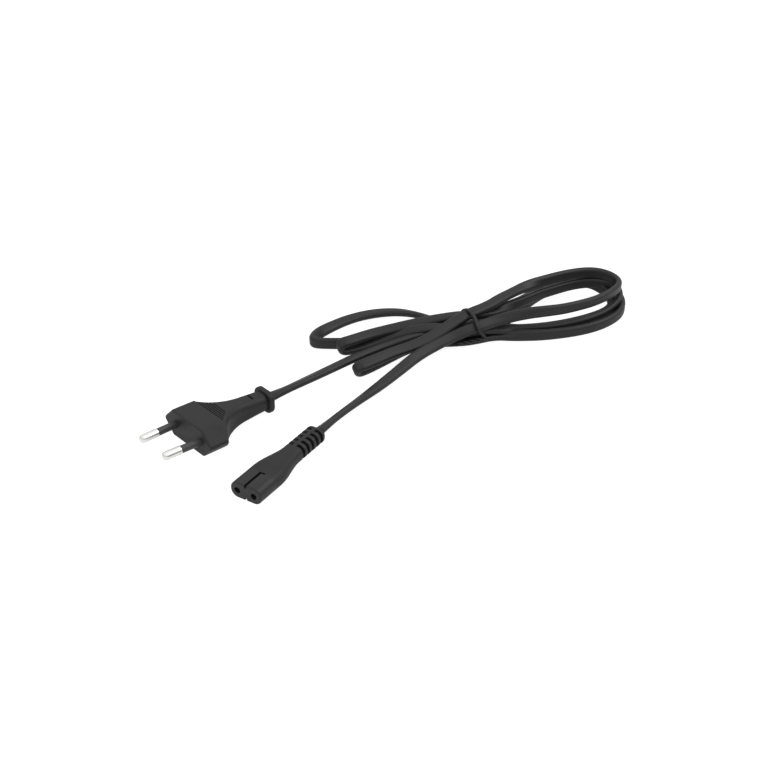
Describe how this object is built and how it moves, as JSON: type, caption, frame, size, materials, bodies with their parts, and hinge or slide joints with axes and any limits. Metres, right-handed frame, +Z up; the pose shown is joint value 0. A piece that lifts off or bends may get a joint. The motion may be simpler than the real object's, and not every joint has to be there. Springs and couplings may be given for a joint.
{
  "type": "power cord",
  "caption": "Flat black mains cord tied in a hank, with a moulded plug with round pins at one end and a figure-eight appliance connector at the other.",
  "frame": {"origin": "middle of the plug's flat underside, on the surface that the cord lies on", "axes": "+Z up, pins along -X, the cord leaves the plug along +X"},
  "size_m": [0.2695, 0.1007, 0.0187],
  "materials": {
    "black_pvc": "moulded satin PVC",
    "black_hard_plastic": "moulded satin",
    "black_cord_sheath": "extruded satin PVC",
    "black_tie": "satin",
    "nickel_plate": "plated",
    "white_carrier": "moulded",
    "brown_core": "extruded",
    "blue_core": "extruded",
    "copper": "bright stranded",
    "contact_brass": "rolled"
  },
  "bodies": {
    "root": {"plug_body": "black_pvc", "connector_body": "black_pvc", "connector_insert": "black_hard_plastic", "cord_plug_lead": "black_cord_sheath", "cord_hank": "black_cord_sheath", "cord_connector_lead": "black_cord_sheath", "twist_tie": "black_tie", "pin_left": "nickel_plate", "pin_right": "nickel_plate", "pin_sleeve_left": "black_hard_plastic", "pin_sleeve_right": "black_hard_plastic", "plug_bridge": "white_carrier", "plug_core_brown": "brown_core", "plug_core_blue": "blue_core", "connector_core_brown": "brown_core", "connector_core_blue": "blue_core", "plug_conductor_brown": "copper", "plug_conductor_blue": "copper", "connector_conductor_brown": "copper", "connector_conductor_blue": "copper", "contact_left": "contact_brass", "contact_right": "contact_brass"}
  },
  "joints": []
}
